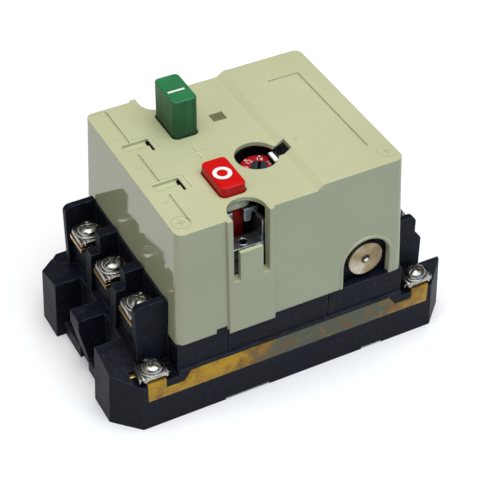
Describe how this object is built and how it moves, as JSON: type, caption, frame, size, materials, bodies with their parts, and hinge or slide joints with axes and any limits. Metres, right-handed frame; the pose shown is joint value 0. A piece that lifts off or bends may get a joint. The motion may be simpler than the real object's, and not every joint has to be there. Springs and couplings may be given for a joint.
{
  "type": "motor protection circuit breaker",
  "caption": "Manual motor starter with a beige drafted cover, black terminal base, push buttons, setting dial and earth strip; buttons close the contacts through a rocker.",
  "frame": {"origin": "middle of the base's underside, on the mounting panel", "axes": "+X from the line terminals to the load terminals, +Y across the poles away from the earth strip, +Z away from the panel"},
  "size_m": [0.12, 0.0708, 0.0845],
  "materials": {
    "black_moulding": "satin thermoset moulding",
    "beige_moulding": "fine satin moulding",
    "inner_moulding": "plain moulding",
    "yellow_passivated_steel": "yellow passivated, stained",
    "nickel_steel": "nickel plated",
    "zinc_steel": "zinc plated sheet",
    "spring_steel": "bright",
    "green_plastic": "smooth moulding",
    "red_plastic": "smooth moulding",
    "dial_red": "smooth moulding",
    "dark_grey_plastic": "smooth moulding",
    "white_plastic": "smooth moulding",
    "cream_plastic": "plain moulding",
    "fibre": "woven glass sleeve",
    "brass_strip": "plain strip",
    "copper": "plain",
    "nickel_disc": "plated, turned and stained"
  },
  "bodies": {
    "housing": {"base_housing": "black_moulding", "top_cover": "beige_moulding", "earth_strip": "yellow_passivated_steel", "earth_clamps": "nickel_steel", "earth_screws": "nickel_steel", "line_clamps": "nickel_steel", "line_screws": "nickel_steel", "load_clamps": "nickel_steel", "load_screws": "nickel_steel", "switch_housing": "inner_moulding", "trip_housing": "black_moulding", "mechanism_frame": "zinc_steel", "frame_screws": "zinc_steel", "cover_screws": "zinc_steel", "on_spring": "spring_steel", "rocker_pivot": "zinc_steel", "heaters": "fibre", "dial_holder": "black_moulding", "pointer": "white_plastic", "line_strip_1": "brass_strip", "load_strip_1": "brass_strip", "coil_lead_1": "copper", "arc_chute_1": "zinc_steel", "trip_coil_1": "copper", "bimetal_1": "spring_steel", "line_strip_2": "brass_strip", "load_strip_2": "brass_strip", "coil_lead_2": "copper", "arc_chute_2": "zinc_steel", "trip_coil_2": "copper", "bimetal_2": "spring_steel", "line_strip_3": "brass_strip", "load_strip_3": "brass_strip", "coil_lead_3": "copper", "arc_chute_3": "zinc_steel", "trip_coil_3": "copper", "bimetal_3": "spring_steel"},
    "on_button": {"on_button": "green_plastic"},
    "off_button": {"off_button": "red_plastic"},
    "rocker": {"rocker": "zinc_steel"},
    "contact_carrier": {"contact_carrier": "inner_moulding", "contact_springs": "spring_steel", "contact_bridge_1": "copper", "contact_bridge_2": "copper", "contact_bridge_3": "copper"},
    "trip_lever": {"trip_lever": "cream_plastic", "trip_shaft": "zinc_steel", "trip_disc": "nickel_disc"},
    "trip_slider": {"trip_slider": "cream_plastic"},
    "setting_dial": {"setting_dial": "dial_red", "dial_screw": "dark_grey_plastic"},
    "plunger_1": {"plunger_1": "zinc_steel"},
    "plunger_2": {"plunger_2": "zinc_steel"},
    "plunger_3": {"plunger_3": "zinc_steel"}
  },
  "joints": [
    {"name": "on_press", "type": "slide", "parent": "housing", "child": "on_button", "axis": [0, 0, -1], "range_m": [0, 0.009], "deforming": ["on_spring"]},
    {"name": "off_rise", "type": "slide", "parent": "housing", "child": "off_button", "axis": [0, 0, 1], "range_m": [0, 0.00451]},
    {"name": "rocker_swing", "type": "hinge", "parent": "housing", "child": "rocker", "pos_m": [-0.0145, -0.00533, 0.053], "axis": [-1, 0, 0], "range_deg": [0, 24.4]},
    {"name": "contacts_close", "type": "slide", "parent": "housing", "child": "contact_carrier", "axis": [0, 0, -1], "range_m": [0, 0.00401]},
    {"name": "trip_turn", "type": "hinge", "parent": "housing", "child": "trip_lever", "pos_m": [0.0264, 0, 0.0373], "axis": [0, -1, 0], "range_deg": [0, 8], "stiffness_Nm_per_rad": 0.05, "springref_deg": -2.86},
    {"name": "trip_slide", "type": "slide", "parent": "housing", "child": "trip_slider", "axis": [-1, 0, 0], "range_m": [0, 0.001]},
    {"name": "plunger_1_strike", "type": "slide", "parent": "housing", "child": "plunger_1", "axis": [1, 0, 0], "range_m": [0, 0.0025]},
    {"name": "plunger_2_strike", "type": "slide", "parent": "housing", "child": "plunger_2", "axis": [1, 0, 0], "range_m": [0, 0.0025]},
    {"name": "plunger_3_strike", "type": "slide", "parent": "housing", "child": "plunger_3", "axis": [1, 0, 0], "range_m": [0, 0.0025]},
    {"name": "dial_turn", "type": "hinge", "parent": "housing", "child": "setting_dial", "pos_m": [0.001, -0.0095, 0.065], "axis": [0, 0, 1], "range_deg": [-120, 120]}
  ],
  "couplings": [
    {"joint": "off_rise", "follows": "on_press", "ratio": 0.5},
    {"joint": "rocker_swing", "follows": "on_press", "rad_per_m": 47.23},
    {"joint": "contacts_close", "follows": "on_press", "ratio": 0.44444},
    {"joint": "trip_slide", "follows": "trip_turn", "m_per_rad": 0.007},
    {"joint": "plunger_1_strike", "follows": "trip_turn", "m_per_rad": 0.0172},
    {"joint": "plunger_2_strike", "follows": "trip_turn", "m_per_rad": 0.0172},
    {"joint": "plunger_3_strike", "follows": "trip_turn", "m_per_rad": 0.0172}
  ]
}
